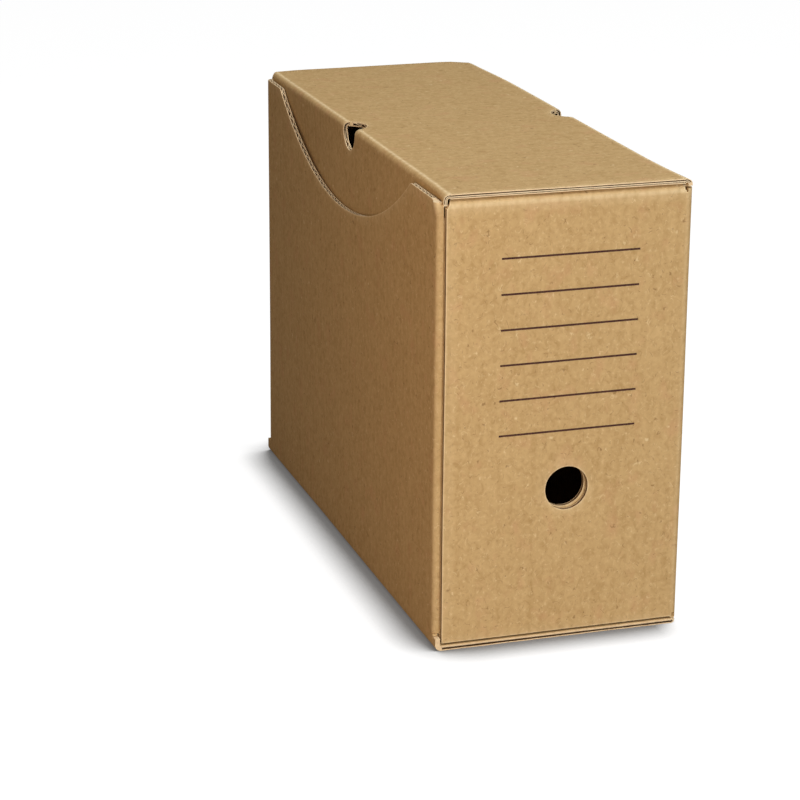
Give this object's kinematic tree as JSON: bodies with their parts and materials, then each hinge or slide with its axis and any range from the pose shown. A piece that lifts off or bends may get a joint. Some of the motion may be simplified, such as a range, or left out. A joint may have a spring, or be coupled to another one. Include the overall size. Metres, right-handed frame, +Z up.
{
  "type": "archive box",
  "caption": "Upright folded corrugated cardboard archive box with a hinged lid whose side flaps tuck in, and a finger hole in the front.",
  "frame": {"origin": "middle of the footprint, on the plane that the box rests on", "axes": "+Z up, -Y towards the front panel with the finger hole, +X to the right as seen from the front"},
  "size_m": [0.15, 0.37, 0.268],
  "materials": {
    "kraft_board": "matt, mottled brown kraft liner",
    "set_glue": "dull film"
  },
  "bodies": {
    "box": {"bottom_panel": "kraft_board", "left_wall": "kraft_board", "right_wall": "kraft_board", "back_wall": "kraft_board", "left_back_flap": "kraft_board", "right_back_flap": "kraft_board", "front_panel": "kraft_board", "front_inner_flap": "kraft_board", "front_glue_line_left": "set_glue", "front_glue_line_middle": "set_glue", "front_glue_line_right": "set_glue", "back_glue_line_left": "set_glue", "back_glue_line_right": "set_glue"},
    "lid": {"lid_panel": "kraft_board"},
    "left_flap": {"lid_left_flap": "kraft_board"},
    "right_flap": {"lid_right_flap": "kraft_board"},
    "dust_flap": {"front_dust_flap": "kraft_board"}
  },
  "joints": [
    {"name": "lid_hinge", "type": "hinge", "parent": "box", "child": "lid", "pos_m": [0, 0.185, 0.268], "axis": [-1, 0, 0], "range_deg": [0, 180]},
    {"name": "left_flap_crease", "type": "hinge", "parent": "lid", "child": "left_flap", "pos_m": [-0.0679, 0, 0.2645], "axis": [0, -1, 0], "range_deg": [0, 12]},
    {"name": "right_flap_crease", "type": "hinge", "parent": "lid", "child": "right_flap", "pos_m": [0.0679, 0, 0.2645], "axis": [0, 1, 0], "range_deg": [0, 12]},
    {"name": "dust_flap_crease", "type": "hinge", "parent": "box", "child": "dust_flap", "pos_m": [0, -0.1807, 0.2612], "axis": [-1, 0, 0], "range_deg": [0, 65]}
  ]
}
